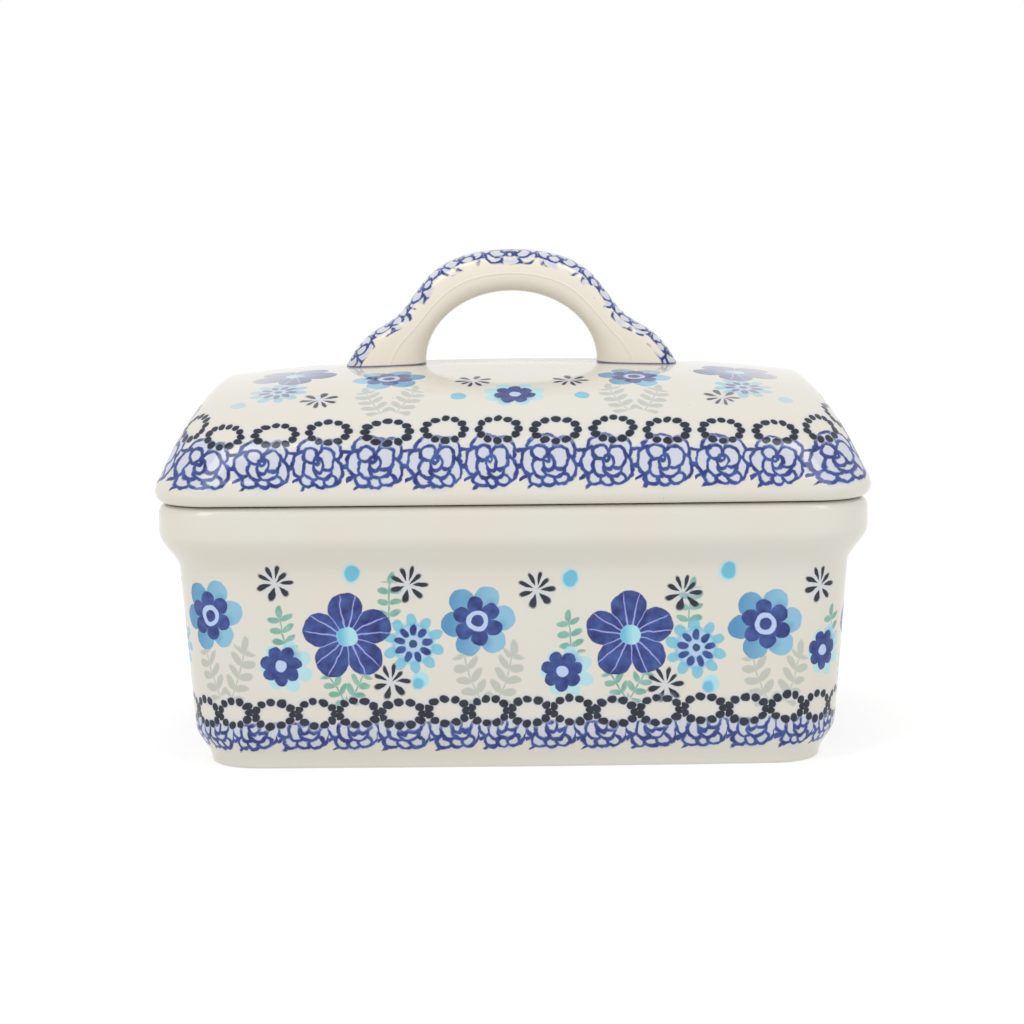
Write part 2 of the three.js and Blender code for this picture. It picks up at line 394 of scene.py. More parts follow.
# The rose's petals from the back to the front: middle and semi-axes of each outline.
ROSE_PETALS = (
    ((-1.0, 4.1), (3.8, 3.2)),
    ((3.5, 3.2), (2.5, 3.4)),
    ((-4.0, 0.3), (2.4, 3.4)),
    ((3.7, -1.6), (2.6, 3.5)),
    ((-2.7, -4.1), (1.9, 1.8)),
    ((0.2, -4.4), (1.7, 1.6)),
    ((2.9, -4.2), (1.7, 1.5)),
    ((-1.5, -1.1), (2.1, 2.7)),
    ((1.2, -1.3), (2.3, 2.5)),
    ((2.3, 1.3), (2.2, 2.9)),
    ((-1.8, 2.6), (1.8, 1.9)),
    ((0.1, -0.1), (1.3, 1.9)),
    ((-0.3, 0.9), (0.6, 0.7)),
)


def stamp_roses(colour, band, ink, pitch, centre, top=None):
    """A row of roses drawn in cobalt line, linked side to side; nothing is drawn above top."""
    moved = vector("SUBTRACT", vector("ADD", band, ink.tremble), (*centre, 0))
    local = vector("WRAP", moved, (pitch / 2, 500, 500), (-pitch / 2, -500, -500))
    across, up = split(local)
    pen = calculate("MULTIPLY_ADD", ink.mottle, -0.18, 0.56)
    beyond = calculate("MULTIPLY_ADD", across.size(), -1, 5.0)
    links = ((up - 3.3).size() - pen).at_least(beyond)
    links = links.at_most(((up + 0.7).size() - 0.7).at_least(beyond + 0.8))
    lines = inside(links, 0.3)
    tail = rotate(vector("ADD", local, (4.1, 5.9, 0)), math.radians(38), back=True)
    lines = lines.at_least(oval(tail, (0, 0), (1.3, 0.45)))
    leaf = rotate(vector("ADD", local, (6.0, 3.9, 0)), math.radians(30), back=True)
    lines = lines.at_least(oval(leaf, (0, 0), (2.0, 0.5)))
    for middle, semi in ROSE_PETALS:
        scaled = vector("MULTIPLY_ADD", local, (1 / semi[0], 1 / semi[1], 0),
                        (-middle[0] / semi[0], -middle[1] / semi[1], 0))
        mean = (semi[0] + semi[1]) / 2
        edge = calculate("MULTIPLY_ADD", measure("LENGTH", scaled), mean, -mean)
        lines = (lines * ramp(edge, -0.1, 0.1)).at_least(inside(edge.size() - pen, 0.3))
    ground = ramp(measure("LENGTH", vector("MULTIPLY", local, (0.92, 1, 0))), 7.6, 6.0) * 0.6
    if top is not None:
        below = ramp(split(band)[1], top + 0.3, top - 0.3)
        ground = ground * below
        lines = lines * below
    colour = paint(colour, LAVENDER, ground)
    return paint(colour, ink.cobalt, lines)


# ---- Where the stamps go ----

def stamped(band, home, pitch, shifts=()):
    """Local coordinates of a stamp that repeats along the band, some repeats shifted one by one."""
    moved = vector("SUBTRACT", band, (*home, 0))
    local = vector("WRAP", moved, (pitch / 2, 500, 500), (-pitch / 2, -500, -500))
    number = None
    for cell, shift in shifts:
        if number is None:
            number = calculate("ROUND", split(moved)[0] * (1 / pitch))
        here = calculate("COMPARE", number, cell, 0.1)
        local = vector("MULTIPLY_ADD", join(here, here), (-shift[0], -shift[1], 0), local)
    return local


def nearest(points):
    """Of several local coordinates, the one whose stamp is closest."""
    best = points[0]
    for point in points[1:]:
        closer = calculate("LESS_THAN", measure("LENGTH", point), measure("LENGTH", best))
        node = make_node("ShaderNodeMix", [closer], data_type="VECTOR")
        best.tree.links.new(best.socket, node.inputs[4])
        best.tree.links.new(point.socket, node.inputs[5])
        best = Field(node.outputs[1])
    return best


def sprig_pair(colour, p, pigment, gap, lean, length, leaf, spacing):
    """Two sprigs that lean apart from nearly one root."""
    x, y = split(p)
    arm = rotate(join(x.size() - gap, y), math.radians(-lean), back=True)
    return stamp_sprig(colour, arm, pigment, length, leaf, spacing, -0.012)


def garland(colour, band, ink):
    """The flowers between the cove and the bead chain, all round the dish."""
    period = FLOWER_PERIOD
    foliage = stamped(band, (-6.4, 17.4), period, [(-1, (2.0, 1.4)), (1, (2.9, -0.9))])
    colour = sprig_pair(colour, foliage, GREY_GREEN, 2.0, 27, 12.6, (1.95, 0.95), 3.1)
    by_small = stamped(band, (14.4, 29.0), period, [(-1, (-2.6, 1.7))])
    leaning = rotate(by_small, 0.25, back=True)
    colour = stamp_sprig(colour, leaning, ink.green, 8.6, (1.55, 0.8), 2.7, 0.01, 18)
    by_star = stamped(band, (-30.6, 37.2), period, [(1, (5.6, -2.0))])
    colour = stamp_sprig(colour, by_star, ink.green, 10.2, (1.55, 0.8), 2.8, 0.008, 14)
    below_big = stamped(band, (-41.0, 17.8), period, [(1, (1.2, 0))])
    colour = sprig_pair(colour, below_big, ink.green, 0.5, 35, 8.0, (1.5, 0.75), 2.6)

    upper_dot = stamped(band, (13.5, 47.6), period, [(-1, (14.5, 1.7)), (1, (-29.1, 1.6))])
    colour = paint(colour, CYAN_PALE, oval(upper_dot, (0, 0), (2.2, 2.6), 0.9) * 0.8)
    colour = paint(colour, CYAN, oval(upper_dot, (0.2, 0.1), (1.75, 2.1), 0.5))
    lower_dot = stamped(band, (-23.3, 22.4), period, [(1, (3.5, -1.6))])
    colour = paint(colour, CYAN_PALE, disc(lower_dot, (0.2, 0.4), 2.1, 0.5))
    colour = paint(colour, CYAN, disc(lower_dot, (-0.4, -0.5), 1.4, 0.7))

    radial = stamped(band, (-24.6, 31.9), period, [(1, (1.3, -1.8))])
    colour = stamp_radial(colour, radial, ink)
    small = stamped(band, (11.5, 24.7), period, [(-1, (-1.0, 1.9)), (1, (-1.2, 4.1))])
    colour = stamp_small(colour, small, ink)
    big = stamped(band, (-40.6, 33.8), period, [(1, (1.4, -0.2)), (2, (3.2, 0))])
    colour = stamp_big(colour, big, ink)
    two_tone = stamped(band, (-8.9, 37.4), period, [(-1, (1.1, 1.7)), (1, (2.6, -1.5))])
    colour = stamp_two_tone(colour, two_tone, ink)

    stars = nearest([
        stamped(band, (5.5, 45.0), period, [(-1, (4.0, 2.2)), (1, (2.4, 0.2))]),
        stamped(band, (-25.4, 46.6), period, [(1, (-0.8, -2.8))]),
        stamped(band, (-30.1, 22.4), period, [(1, (-0.6, -1.4))]),
    ])
    return stamp_star(colour, stars, ink)


def lid_top(colour, place, outside, ink):
    """The flowers on the outside of the lid's crown, painted faint at its ends in place of the wash of a
    grazing reflection.

    The back is the front turned half round.
    """
    bare = colour
    _, y = split(place)
    facing = calculate("SIGN", y) * -1
    plan = vector("MULTIPLY", place, join(facing, facing))

    def mirrored(middle, home):
        """Local coordinates of two stamps, one each side of the middle, at home's distance from it."""
        sides = vector("ABSOLUTE", vector("SUBTRACT", plan, (middle, 0, 0)))
        flat = vector("MULTIPLY", sides, (1, 1, 0))
        return vector("SUBTRACT", flat, (*home, 0))

    foliage = vector("MULTIPLY", mirrored(0.0, (30.0, 49.5)), (1, -1, 0))
    colour = sprig_pair(colour, foliage, GREY_GREEN, 2.0, 27, 12.6, (1.95, 0.95), 3.1)
    colour = paint(colour, CYAN, disc(mirrored(2.0, (15.2, 42.1)), (0, 0), 1.9) * 0.9)
    colour = paint(colour, CYAN, disc(mirrored(0.0, (67.3, 40.2)), (0, 0), 1.9) * 0.9)
    colour = stamp_radial(colour, mirrored(-0.3, (57.7, 33.3)), ink)
    colour = stamp_big(colour, mirrored(0.9, (55.9, 16.5)), ink)
    colour = stamp_two_tone(colour, mirrored(0.0, (30.7, 27.0)), ink)
    colour = stamp_small(colour, mirrored(0.6, (0.0, 41.4)), ink)
    stars = nearest([mirrored(2.1, (49.4, 41.0)), mirrored(2.5, (12.1, 31.4))])
    colour = stamp_star(colour, stars, ink)
    # painted reflection: the crown's flowers fade towards its ends, standing in for the glare of a grazing
    # reflection
    glare_fade = ramp(split(place)[0].size(), GLARE_FADE_TO, GLARE_FADE_FROM).at_least(GLARE_FAINTEST)
    return paint(bare, colour, glare_fade * outside)


# ---- Glaze and clay ----

def new_material(name):
    material = bpy.data.materials.new(name)
    material.use_nodes = True
    tree = material.node_tree
    return material, tree, tree.nodes["Principled BSDF"]


def glaze(name, decorate, body=CREAM, cooler=CREAM_COOL):
    """Clear glossy glaze over cream stoneware, with the painting that decorate lays on it."""
    material, tree, shader = new_material(name)
    place = attribute(tree, "place")
    band = attribute(tree, "band")
    _, wander = noise(place, 4.0, 3.0)
    sway = vector("MULTIPLY_ADD", wander, (1.3, 1.3, 0), (-0.65, -0.65, 0))
    band = vector("ADD", band, sway)
    plan = vector("ADD", place, sway)
    ink = Pigments(place)

    tone, _ = noise(place, 22.0)
    colour = paint(body, cooler, ramp(tone, 0.35, 0.65))
    colour = decorate(colour, band, plan, ink)

    speck_node = make_node("ShaderNodeTexVoronoi", [place])
    speck_node.inputs["Scale"].default_value = 1 / SPECK_CELL
    chance = split(Field(speck_node.outputs["Color"]))[0]
    speck = ramp(Field(speck_node.outputs["Distance"]), 0.030, 0.018) * ramp(chance, 0.72, 0.75)
    colour = paint(colour, IRON, speck * 0.8)

    tree.links.new(colour.socket, shader.inputs["Base Color"])
    ripple, _ = noise(place, 11.0)
    bump = tree.nodes.new("ShaderNodeBump")
    bump.inputs["Strength"].default_value = 0.25
    bump.inputs["Distance"].default_value = 0.3 * MM
    tree.links.new(ripple.socket, bump.inputs["Height"])
    tree.links.new(bump.outputs["Normal"], shader.inputs["Normal"])
    shader.inputs["Roughness"].default_value = 0.1
    shader.inputs["IOR"].default_value = 1.45
    return material


def bare_clay():
    """The foot's bearing ring, wiped free of glaze: matt, sandy, fired clay."""
    material, tree, shader = new_material("bare_clay")
    place = attribute(tree, "place")
    grain, _ = noise(place, 0.6, 4.0)
    colour = paint(CLAY, CLAY_DARK, ramp(grain, 0.4, 0.7))
    tree.links.new(colour.socket, shader.inputs["Base Color"])
    bump = tree.nodes.new("ShaderNodeBump")
    bump.inputs["Strength"].default_value = 0.4
    bump.inputs["Distance"].default_value = 0.1 * MM
    tree.links.new(grain.socket, bump.inputs["Height"])
    tree.links.new(bump.outputs["Normal"], shader.inputs["Normal"])
    shader.inputs["Roughness"].default_value = 0.85
    return material


def by_hand(band, ink):
    """The band with its rows' spacing and height wandering as a hand-stamped row does."""
    return vector("ADD", band, ink.wander)


def decorate_dish(colour, band, plan, ink):
    """The garland, with a row of roses and a bead chain below it."""
    colour = garland(colour, band, ink)
    rows = by_hand(band, ink)
    colour = stamp_roses(colour, rows, ink, DISH_ROSE_PITCH, (-3.2, 11.4), top=DISH_ROSES_TOP)
    return stamp_chain(colour, rows, ink, DISH_LINK_PITCH, (-6.8, 14.7), (4.75, 3.1), 11, 1.1)


def decorate_lid(colour, band, plan, ink):
    """The crown's flowers, with a bead chain and a row of roses round the sides."""
    outside = ramp(split(band)[1], UNPAINTED / 2, UNPAINTED / 4)
    colour = lid_top(colour, plan, outside, ink)
    rows = by_hand(band, ink)
    colour = stamp_roses(colour, rows, ink, ROSE_PITCH, (8.7, 7.9))
    return stamp_chain(colour, rows, ink, LID_LINK_PITCH, (-3.15, 16.8), (4.95, 3.2), 12, 1.05)


def decorate_handle(colour, band, plan, ink):
    """Roses over the outer face, patchy on its edges, and a dark glaze line where the feet meet the lid."""
    mirrored = vector("ABSOLUTE", band)
    across = split(mirrored)[1]
    painted = stamp_roses(colour, mirrored, ink, HANDLE_ROSE_PITCH, (1.0, 5.2))
    patches = ramp(noise(plan, 4.0)[0], 0.46, 0.54).at_least(ramp(across, 9.6, 8.8))
    colour = paint(colour, painted, ramp(across, 12.2, 11.6) * patches)
    fall = vector("MULTIPLY", vector("MULTIPLY", plan, plan), (DOME_X2, DOME_Y2, 0))
    raised = measure("DOT_PRODUCT", plan, (0, 0, 1)) + measure("DOT_PRODUCT", fall, (1, 1, 0))
    return paint(colour, COBALT_DARK, inside(raised - (LID_TOP + FOOT_LINE), 0.3) * 0.85)


# ---- Lofted skins ----

CORNER_STEPS = 14
LONG_STEPS = 24  # for half of a long side
SHORT_STEPS = 32


def outline(half_length, half_width, radius, quarter):
    """A rounded rectangle with bowed long sides, counter-clockwise from the middle of the back.

    Each point carries x, y and its place along the painted band, which is 0 at the middle of the
    front and one quarter further at the middle of the right side. It runs true along the straight
    sides and takes up what is left round the corners.
    """
    r = min(radius, half_width - 0.5)
    x, y = half_length - r, half_width - r
    span = quarter - x - y
    points = []

    def long_side(start, away, painted, steps):
        for i in range(steps):
            moved = x * i / LONG_STEPS
            points.append((start + away * moved, -away * half_width, painted + moved))

    def corner(cx, cy, start, painted):
        for i in range(CORNER_STEPS):
            share = i / CORNER_STEPS
            angle = math.radians(start + 90 * share)
            points.append((cx + r * math.cos(angle), cy + r * math.sin(angle), painted + span * share))

    def short_side(px, away, painted):
        for i in range(SHORT_STEPS):
            step = -y + 2 * y * i / SHORT_STEPS
            points.append((px, away * step, painted + step))

    long_side(0, -1, -2 * quarter, LONG_STEPS)
    corner(-x, y, 90, -2 * quarter + x)
    short_side(-half_length, -1, -quarter)
    corner(-x, -y, 180, -quarter + y)
    long_side(-x, 1, -x, 2 * LONG_STEPS)
    corner(x, -y, 270, x)
    short_side(half_length, 1, quarter)
    corner(x, y, 0, quarter + y)
    long_side(x, -1, 2 * quarter - x, LONG_STEPS)
    swell = SIDE_BOW / half_width
    return [(px, py * (1 + swell * (1 - (px / half_length) ** 2)), painted) for px, py, painted in points]


def ring(inset, height, radius, quarter):
    """One ring of a loft, set in from the lid's lip: its points, and their places along the band.

    The height is a number, or a function of x and y.
    """
    half_length = LID_LENGTH / 2 - inset
    half_width = LID_WIDTH / 2 - SIDE_BOW - inset
    flat = outline(half_length, half_width, radius, quarter)
    points = [(x, y, height(x, y) if callable(height) else height) for x, y, _ in flat]
    return points, [painted for _, _, painted in flat]


def make_object(name, points, faces, band, materials):
    """A smooth mesh object, with the painting's coordinates kept on its corners."""
    mesh = bpy.data.meshes.new(name)
    mesh.from_pydata([[c * MM for c in point] for point in points], [], faces)
    mesh.shade_smooth()
    corners = [vertex for face in mesh.polygons for vertex in face.vertices]
    place = mesh.attributes.new("place", "FLOAT_VECTOR", "CORNER")
    place.data.foreach_set("vector", [c for vertex in corners for c in points[vertex]])
    painted = mesh.attributes.new("band", "FLOAT_VECTOR", "CORNER")
    painted.data.foreach_set("vector", [c for face_band in band for corner in face_band for c in corner])
    for material in materials:
        mesh.materials.append(material)
    made = bpy.data.objects.new(name, mesh)
    bpy.context.scene.collection.objects.link(made)
    return made


def loft(name, rings, rows, full_turn, materials):
    """A closed skin through rings that run from underneath, outwards, up and over.

    A fan of triangles closes the first ring and the last one. Each ring is its points and their
    places along the band, and rows holds its height on the band.
    """
    count = len(rings[0][0])
    points = [point for one, _ in rings for point in one]
    start, end = len(points), len(points) + 1
    for one, _ in (rings[0], rings[-1]):
        points.append((0.0, 0.0, sum(point[2] for point in one) / count))
    faces, band = [], []
    last = (len(rings) - 1) * count
    for j in range(count):
        after = (j + 1) % count
        wrap = 0 if after else full_turn

        def left(k, row):
            return (rings[k][1][j], row, 0)

        def right(k, row):
            return (rings[k][1][after] + wrap, row, 0)

        for k in range(len(rings) - 1):
            low, high = k * count, (k + 1) * count
            faces.append((low + j, low + after, high + after, high + j))
            under, over = rows[k], rows[k + 1]
            if min(under, over) <= UNPAINTED:
                under = over = UNPAINTED
            band.append([left(k, under), right(k, under), right(k + 1, over), left(k + 1, over)])
        faces.append((start, after, j))
        band.append([left(0, rows[0]), right(0, rows[0]), left(0, rows[0])])
        faces.append((end, last + j, last + after))
        band.append([left(-1, rows[-1]), left(-1, rows[-1]), right(-1, rows[-1])])
    return make_object(name, points, faces, band, materials)


def straight(start, end, steps):
    """Points from start up to, but not including, end."""
    return [tuple(a + (b - a) * i / steps for a, b in zip(start, end)) for i in range(steps)]


def eased(start, end, steps):
    """An S-shaped change of inset between two heights, without the last point."""
    points = []
    for i in range(steps):
        t = i / steps
        ease = t * t * (3 - 2 * t)
        points.append((start[0] + (end[0] - start[0]) * ease, start[1] + (end[1] - start[1]) * t))
    return points


def rounded(start, corner, end, steps):
    """A quarter-round from start to end that bulges towards the corner, without the last point."""
    points = []
    for i in range(steps):
        angle = math.pi / 2 * i / steps
        toward_end, toward_start = 1 - math.cos(angle), 1 - math.sin(angle)
        points.append(tuple(c + (s - c) * toward_start + (e - c) * toward_end
                            for s, c, e in zip(start, corner, end)))
    return points


def make_dish():
    """The box as one skin: underside, foot, outside, rim, inside and floor, as inset and height."""
    foot_inner = FOOT_INSET + FOOT_RING_WIDTH
    recess_edge = (foot_inner + 2.2, FOOT_RECESS)
    ring_edge = (foot_inner + 0.5, 0.35)
    underside = [
        *straight((MIDDLE_INSET, FOOT_RECESS), recess_edge, 8),
        *rounded(recess_edge, (foot_inner + 1.0, FOOT_RECESS), ring_edge, 4),
        *rounded(ring_edge, (foot_inner + 0.3, 0.0), (foot_inner, 0.0), 3),
    ]
    clay_from = len(underside)
    bearing = straight((foot_inner, 0.0), (FOOT_INSET + 0.6, 0.0), 4)
    clay_to = len(underside) + len(bearing)
    bearing += straight((FOOT_INSET + 0.6, 0.0), (FOOT_INSET, 0.0), 1)
    bearing += rounded((FOOT_INSET, 0.0), (FOOT_INSET - 0.5, 0.0), (FOOT_INSET - 0.6, 0.6), 4)
    outside = [
        *eased((FOOT_INSET - 0.6, 0.6), WALL_BOTTOM, 14),
        *straight(WALL_BOTTOM, WALL_TOP, 26),
        *eased(WALL_TOP, BAND_BOTTOM, 22),
        *straight(BAND_BOTTOM, (0.0, RIM_HEIGHT - 2.6), 4),
        *rounded((0.0, RIM_HEIGHT - 2.6), (0.0, RIM_HEIGHT), (2.2, RIM_HEIGHT), 10),
        *straight((2.2, RIM_HEIGHT), (5.4, RIM_HEIGHT), 4),
    ]
    inside_rim = [
        *rounded((5.4, RIM_HEIGHT), (CAVITY_TOP[0], RIM_HEIGHT), CAVITY_TOP, 8),
        *straight(CAVITY_TOP, CAVITY_BOTTOM, 18),
    ]
    floor_inset = CAVITY_BOTTOM[0] + CAVITY_BOTTOM[1] - FLOOR_Z
    fillet = rounded(CAVITY_BOTTOM, (CAVITY_BOTTOM[0], FLOOR_Z), (floor_inset, FLOOR_Z), 10)
    floor = straight((floor_inset, FLOOR_Z), (MIDDLE_INSET, FLOOR_Z), 10)

    outer_profile = underside + bearing + outside
    inner_profile = inside_rim + fillet + floor
    rings = []
    for inset, z in outer_profile:
        radius = CORNER_RADIUS - 0.25 * inset if z < RIM_HEIGHT - 1 else CORNER_RADIUS - inset
        rings.append(ring(RIM_SETBACK + inset, z, radius, DISH_QUARTER))
    for inset, z in inner_profile:
        radius = max(CORNER_RADIUS - inset, INNER_CORNER_RADIUS)
        rings.append(ring(RIM_SETBACK + inset, z, radius, DISH_QUARTER))
    rows = [z for _, z in outer_profile] + [UNPAINTED - z for _, z in inner_profile]
    rows = [row if k >= clay_from else UNPAINTED for k, row in enumerate(rows)]
    dish = loft("dish_glazed", rings, rows, 4 * DISH_QUARTER,
                [glaze("dish_glaze_painted", decorate_dish), bare_clay()])
    faces_per_column = len(rings) + 1  # in the order that loft makes them
    for j in range(len(rings[0][0])):
        for k in range(clay_from, clay_to):
            dish.data.polygons[j * faces_per_column + k].material_index = 1
    return dish


def dome_height(x, y):
    return LID_TOP - DOME_X2 * x ** 2 - DOME_X4 * x ** 4 - DOME_Y2 * y ** 2 - DOME_Y4 * y ** 4


def rounded_minimum(a, b, blend):
    """The lesser of two heights, rounded off where they come within the blend of each other."""
    overlap = max(blend - abs(a - b), 0) / blend
    return min(a, b) - overlap * overlap * blend / 4


def lid_height(inset):
    """The lid's outer height over the plan, for the ring at this inset."""
    side = LIP_WIDEST_Z + 1 + (inset - 0.3) * LID_SIDE_SLOPE
    return lambda x, y: rounded_minimum(side, dome_height(x, y), LID_SHOULDER_BLEND)


def ceiling_height(inset):
    """The height of the lid's inside over the plan, for the ring at this inset."""
    side = HOLLOW_EDGE_Z + (inset - HOLLOW_INSET) * LID_SIDE_SLOPE
    return lambda x, y: rounded_minimum(side, dome_height(x, y) - LID_THICKNESS, LID_SHOULDER_BLEND)


def make_lid():
    """The lid as one skin: inside, flange and lip as inset and height, then the sides and the crown."""
    inner, outer = FLANGE_INNER_INSET, FLANGE_OUTER_INSET
    bottom, round_top = FLANGE_BOTTOM_Z, FLANGE_BOTTOM_Z + 1.2
    ceiling = [inset for inset, in straight((MIDDLE_INSET,), (24.0,), 8)]
    ceiling += [inset for inset, in straight((24.0,), (HOLLOW_INSET + 0.6,), 16)]
    flange = [
        *straight((HOLLOW_INSET, HOLLOW_EDGE_Z - 1.6), (inner - 0.8, 68.0), 5),
        *straight((inner - 0.8, 68.0), (inner, round_top), 5),
        *rounded((inner, round_top), (inner, bottom), (inner - 1.2, bottom), 5),
        *straight((inner - 1.2, bottom), (outer + 1.2, bottom), 1),
        *rounded((outer + 1.2, bottom), (outer, bottom), (outer, round_top), 5),
        *straight((outer, round_top), (outer, LID_SEAT_Z - 1.0), 3),
        *rounded((outer, LID_SEAT_Z - 1.0), (outer, LID_SEAT_Z), (outer - 1.0, LID_SEAT_Z), 4),
    ]
    lip = [
        *straight((outer - 1.0, LID_SEAT_Z), (2.2, LID_SEAT_Z), 5),
        *rounded((2.2, LID_SEAT_Z), (0.0, LID_SEAT_Z), (0.0, LIP_WIDEST_Z), 12),
    ]
    above_lip = [inset for inset, in straight((0.0,), (LIP_CURVE_INSET,), 4)]
    above_lip += [inset for inset, in straight((LIP_CURVE_INSET,), (22.0,), 46)]
    above_lip += [inset for inset, in straight((22.0,), (MIDDLE_INSET,), 16)]

    def outer_height(inset):
        """The lid's height over the plan, with the upright curve that leaves the lip."""
        if inset >= LIP_CURVE_INSET:
            return lid_height(inset)
        climb = 1 - (1 - inset / LIP_CURVE_INSET) ** 1.6
        above = lid_height(LIP_CURVE_INSET)
        return lambda x, y: LIP_WIDEST_Z + (above(x, y) - LIP_WIDEST_Z) * climb

    rings, rows = [], []
    for inset in ceiling:
        rings.append(ring(inset, ceiling_height(inset), INNER_CORNER_RADIUS, LID_QUARTER))
        rows.append(UNPAINTED)
    for inset, z in flange:
        rings.append(ring(inset, z, INNER_CORNER_RADIUS, LID_QUARTER))
        rows.append(UNPAINTED)
    for inset, z in lip:
        rings.append(ring(inset, z, max(CORNER_RADIUS - inset, INNER_CORNER_RADIUS), LID_QUARTER))
        rows.append(z - LIP_WIDEST_Z)
    slope, before = 0.0, None
    for inset in above_lip:
        one = ring(inset, outer_height(inset), CORNER_RADIUS, LID_QUARTER)
        front = [point for point in one[0] if point[1] < 0]
        middle = min(front, key=lambda point: abs(point[0]))
        if before is not None:
            slope += math.dist(before, middle)
        before = middle
        rings.append(one)
        rows.append(slope)
    return loft("lid_glazed", rings, rows, 4 * LID_QUARTER, [glaze("lid_glaze_painted", decorate_lid)])


# ---- Handle ----

ARCH_STEPS = 120
SECTION_STEPS = 44
SECTION_POWER = 3.2  # the section is a superellipse of this power
RIDGE_REACH = -0.1  # place of a slight ridge along front and back: -1 is the inside, 1 the outside
RIDGE_FALL = 0.03  # the section's half depth loses this share from the ridge to a reach of 1 away
SEAM_HALF_WIDTH = 0.05  # of the fine raised mould seam along the ridge, as a reach
SEAM_HEIGHT = 0.12
SEAM_STEPS = (-1.8, -1.0, -0.5, 0.0, 0.5, 1.0, 1.8)  # extra steps across it, in half widths
HANDLE_ROOT_LENGTH = 2.6  # of the painted band, over the sunk end of a foot
OFF_BAND = (0, 50, 0)  # the place on the band of the handle's sunk end faces


def handle_section():
    """The handle's section as reach and depth along y, going round from the outside.

    The steps are even apart from the extra ones that the loft needs to show the seams.
    """
    angles = [2 * math.pi * j / SECTION_STEPS for j in range(SECTION_STEPS)]
    for step in SEAM_STEPS:
        reach = RIDGE_REACH + step * SEAM_HALF_WIDTH
        angle = math.acos(math.copysign(abs(reach) ** (SECTION_POWER / 2), reach))
        angles += [angle, 2 * math.pi - angle]
    section = []
    for angle in sorted(angles):
        c, s = math.cos(angle), math.sin(angle)
        reach = math.copysign(abs(c) ** (2 / SECTION_POWER), c)
        away = abs(reach - RIDGE_REACH)
        depth = abs(s) ** (2 / SECTION_POWER) * HANDLE_DEPTH / 2 * (1 - RIDGE_FALL * away)
        if away < SEAM_HALF_WIDTH:
            depth += SEAM_HEIGHT * math.cos(math.pi / 2 * away / SEAM_HALF_WIDTH) ** 2
        section.append((reach, math.copysign(depth, s)))
    return section


def catmull_rom(points, t):
    """The point of a smooth curve through all the points, t running from 0 to 1."""
    spans = len(points) - 1
    k = min(int(t * spans), spans - 1)
    u = t * spans - k
    p1, p2 = points[k], points[k + 1]
    p0 = points[k - 1] if k > 0 else tuple(2 * a - b for a, b in zip(p1, p2))
    p3 = points[k + 2] if k + 2 <= spans else tuple(2 * b - a for a, b in zip(p1, p2))
    return tuple(
        0.5 * (2 * b + (c - a) * u + (2 * a - 5 * b + 4 * c - d) * u * u + (3 * b - a - 3 * c + d) * u ** 3)
        for a, b, c, d in zip(p0, p1, p2, p3)
    )


def make_handle():
    """The arch as a loft of sections, each between the outer line and the finger opening."""
    # Half of the arch, from a foot up to the top: x and height on the outer line, and the angle
    # of the point of the finger opening's ellipse that faces it, in degrees.
    half = [
        (42.8, 95.8, 0),
        (40.3, 99.9, 5),
        (36.4, 103.9, 12),
        (31.8, 106.7, 21),
        (28.1, 109.8, 32),
        (24.6, 114.4, 44),
        (20.8, 119.0, 56),
        (15.5, 122.5, 67),
        (8.5, 124.6, 79),
    ]
    arch = half + [(0.0, HANDLE_TOP, 90)] + [(-x, z, 180 - angle) for x, z, angle in reversed(half)]
    rings, lengths = [], []
    along, before = 0.0, None
    for i in range(ARCH_STEPS + 1):
        x, z, angle = catmull_rom(arch, i / ARCH_STEPS)
        facing = math.radians(angle)
        inner = Vector((LOOP_HALF_SPAN * math.cos(facing), LOOP_SPRING_Z + LOOP_RISE * math.sin(facing)))
        outer = Vector((x, z))
        if before is not None:
            along += (outer - before).length
        before = outer
        lengths.append(along)
        rings.append((inner, outer))
    root = Vector((0, HANDLE_ROOT_Z - LOOP_SPRING_Z))
    rings.insert(0, (rings[0][0] + root, rings[0][1] + root))
    rings.append((rings[-1][0] + root, rings[-1][1] + root))
    lengths = [-HANDLE_ROOT_LENGTH] + lengths + [along + HANDLE_ROOT_LENGTH]

    section = handle_section()
    points, sides = [], []
    for inner, outer in rings:
        middle, half_across = (inner + outer) / 2, (outer - inner) / 2
        for reach, depth in section:
            at = middle + half_across * reach
            points.append((at.x, depth, at.y))
            sides.append((reach, depth, half_across.length))

    def painted(index, row):
        """Across the outer face: 0 on its middle line, growing round the edge onto the sides."""
        reach, depth, width = sides[index]
        down = (1 - reach) * width
        across = math.copysign(abs(depth) + down, depth)
        return (lengths[row] - along / 2, across, 0)

    count = len(section)
    faces, band = [], []
    for k in range(len(rings) - 1):
        for j in range(count):
            after = (j + 1) % count
            quad = (k * count + j, k * count + after, (k + 1) * count + after, (k + 1) * count + j)
            faces.append(quad)
            band.append([painted(index, index // count) for index in quad])
    faces.append(tuple(range(count - 1, -1, -1)))
    band.append([OFF_BAND] * count)
    last = (len(rings) - 1) * count
    faces.append(tuple(range(last, last + count)))
    band.append([OFF_BAND] * count)
    # painted light: the handle's glaze is a lighter copy of the dish's cream, offsetting the handle's shade
    material = glaze("handle_glaze_painted", decorate_handle, LIGHTENED_HANDLE_CREAM, LIGHTENED_HANDLE_CREAM)
    return make_object("handle_glazed", points, faces, band, [material])


# ---- Studio ----

CAMERA_DISTANCE = 0.699
CAMERA_HEIGHT = 0.148
CAMERA_ASIDE = -0.0003
CAMERA_PITCH = math.radians(7.45)
CAMERA_ROLL = math.radians(0.61)
FIELD_OF_VIEW = math.radians(21.56)


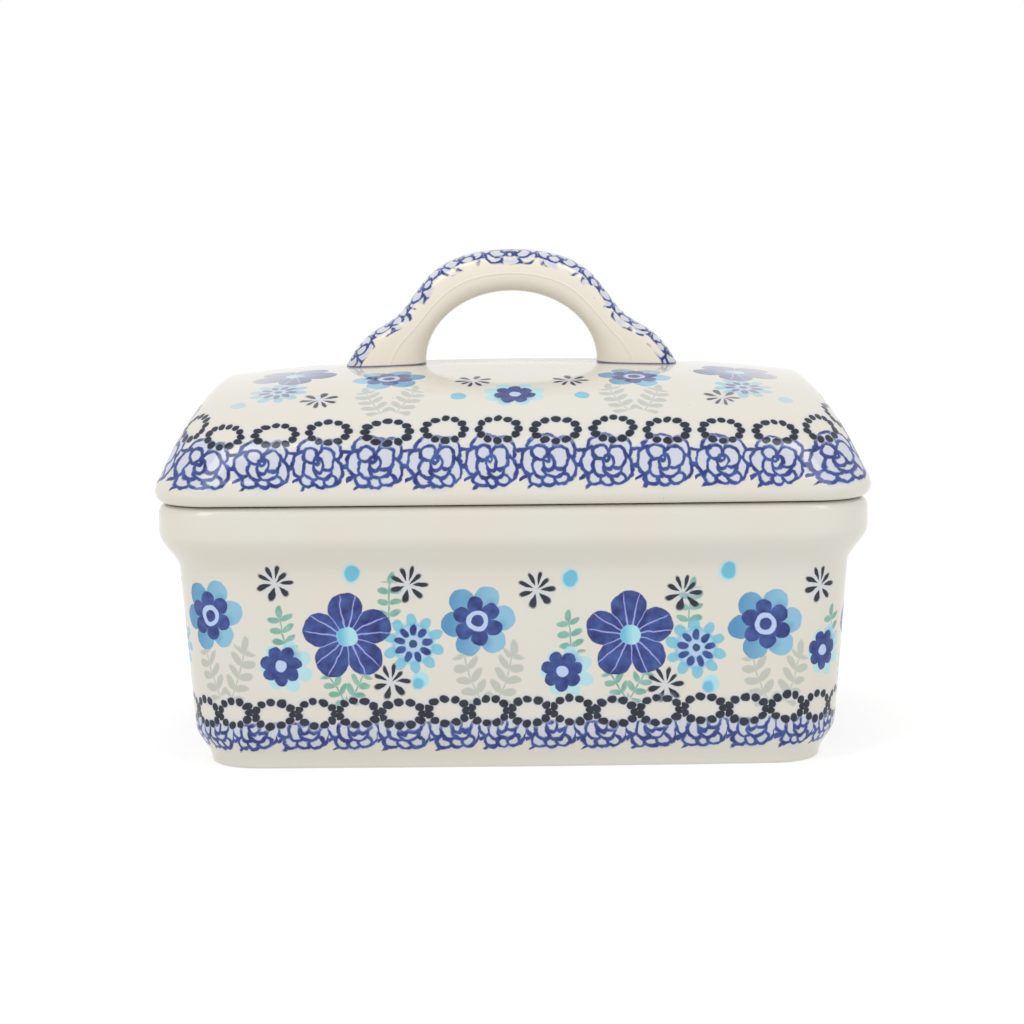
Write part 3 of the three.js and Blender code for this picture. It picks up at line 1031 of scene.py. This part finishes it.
def make_camera():
    data = bpy.data.cameras.new("camera")
    data.sensor_fit = "HORIZONTAL"
    data.angle = FIELD_OF_VIEW
    camera = bpy.data.objects.new("camera", data)
    bpy.context.scene.collection.objects.link(camera)
    place = Matrix.Translation((CAMERA_ASIDE, -CAMERA_DISTANCE, CAMERA_HEIGHT))
    tilt = Matrix.Rotation(math.pi / 2 - CAMERA_PITCH, 4, "X")
    camera.matrix_world = place @ tilt @ Matrix.Rotation(-CAMERA_ROLL, 4, "Z")
    bpy.context.scene.camera = camera


def make_light(name, position, target, size, power):
    data = bpy.data.lights.new(name, "AREA")
    data.shape = "RECTANGLE"
    data.size, data.size_y = size
    data.energy = power
    light = bpy.data.objects.new(name, data)
    light.location = position
    light.rotation_euler = (Vector(target) - Vector(position)).to_track_quat("-Z", "Y").to_euler()
    bpy.context.scene.collection.objects.link(light)


def make_studio():
    scene = bpy.context.scene
    scene.view_settings.view_transform = "Standard"
    world = bpy.data.worlds.new("studio")
    world.use_nodes = True
    background = world.node_tree.nodes["Background"]
    background.inputs["Color"].default_value = (1.0, 1.0, 1.0, 1.0)
    background.inputs["Strength"].default_value = 1.0
    scene.world = world
    middle = (0, 0, 0.06)
    make_light("left_softbox", (-0.58, -0.72, 1.12), middle, (0.5, 0.8), 4.4)
    make_light("right_softbox", (0.58, -0.72, 1.12), middle, (0.4, 0.75), 2.8)

    bpy.ops.mesh.primitive_plane_add(size=60, location=(0, 0, 0))
    floor = bpy.context.object
    floor.name = "floor"
    material, tree, shader = new_material("floor_paper")
    shader.inputs["Base Color"].default_value = (0.45, 0.45, 0.445, 1)
    shader.inputs["Roughness"].default_value = 1.0
    shader.inputs["Specular IOR Level"].default_value = 0.0
    shader.inputs["Emission Color"].default_value = (1.0, 1.0, 0.995, 1)
    shader.inputs["Emission Strength"].default_value = 0.58
    floor.data.materials.append(material)


# ---- Assembly ----

make_camera()
make_studio()

for piece, body, node, slot in (
    (make_dish(), "dish_body", "dish", "dish_glaze"),
    (make_lid(), "lid_body", "lid_shell", "lid_glaze"),
    (make_handle(), "lid_body", "lid_handle", "handle_glaze"),
):
    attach(piece, body)
    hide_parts(node)
